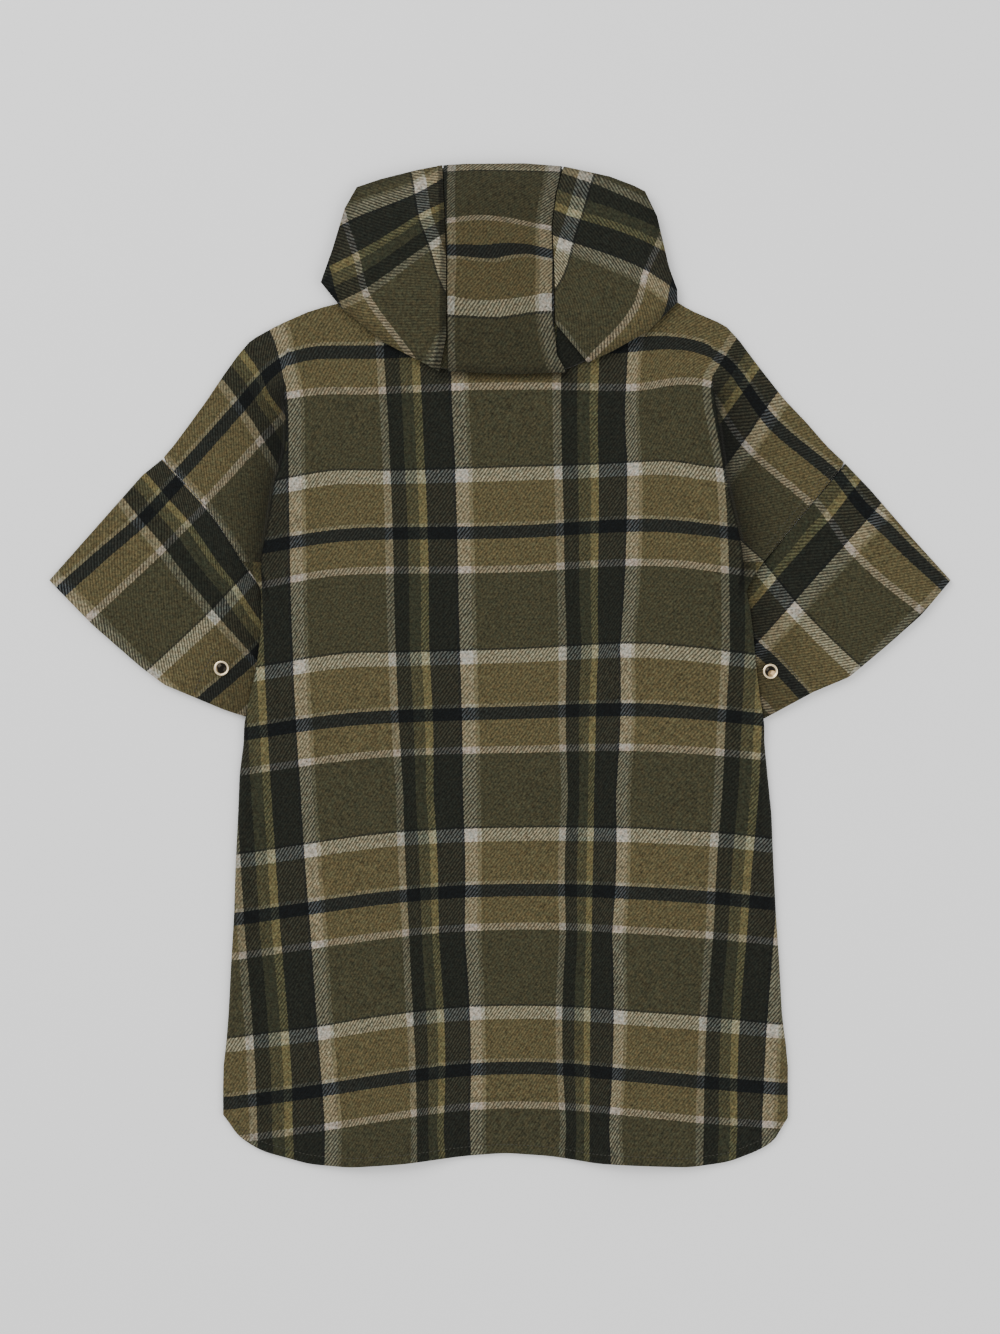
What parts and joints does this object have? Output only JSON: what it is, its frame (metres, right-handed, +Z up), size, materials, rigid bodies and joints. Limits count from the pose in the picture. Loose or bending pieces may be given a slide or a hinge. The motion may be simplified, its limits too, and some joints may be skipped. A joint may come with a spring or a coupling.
{
  "type": "hooded cape",
  "caption": "Hooded wool cape with wide short sleeves, checked cloth and a shirt-tail hem, laid flat on its front with the hood thrown down on the back.",
  "frame": {"origin": "middle of the garment's outline, on the surface that it lies on", "axes": "+Y from the hem towards the hood, +Z up out of the surface, +X to the right as seen from above the back"},
  "size_m": [0.902, 1.0024, 0.025],
  "materials": {
    "checked_wool": "brushed wool twill in olive, brown, green-black and stone checks",
    "snap_metal": "polished pale gold"
  },
  "bodies": {
    "root": {"front": "checked_wool", "back": "checked_wool", "sleeve_left": "checked_wool", "sleeve_right": "checked_wool", "hood_inner": "checked_wool", "hood_centre": "checked_wool", "hood_left": "checked_wool", "hood_right": "checked_wool", "snap_left": "snap_metal", "snap_right": "snap_metal"}
  },
  "joints": []
}
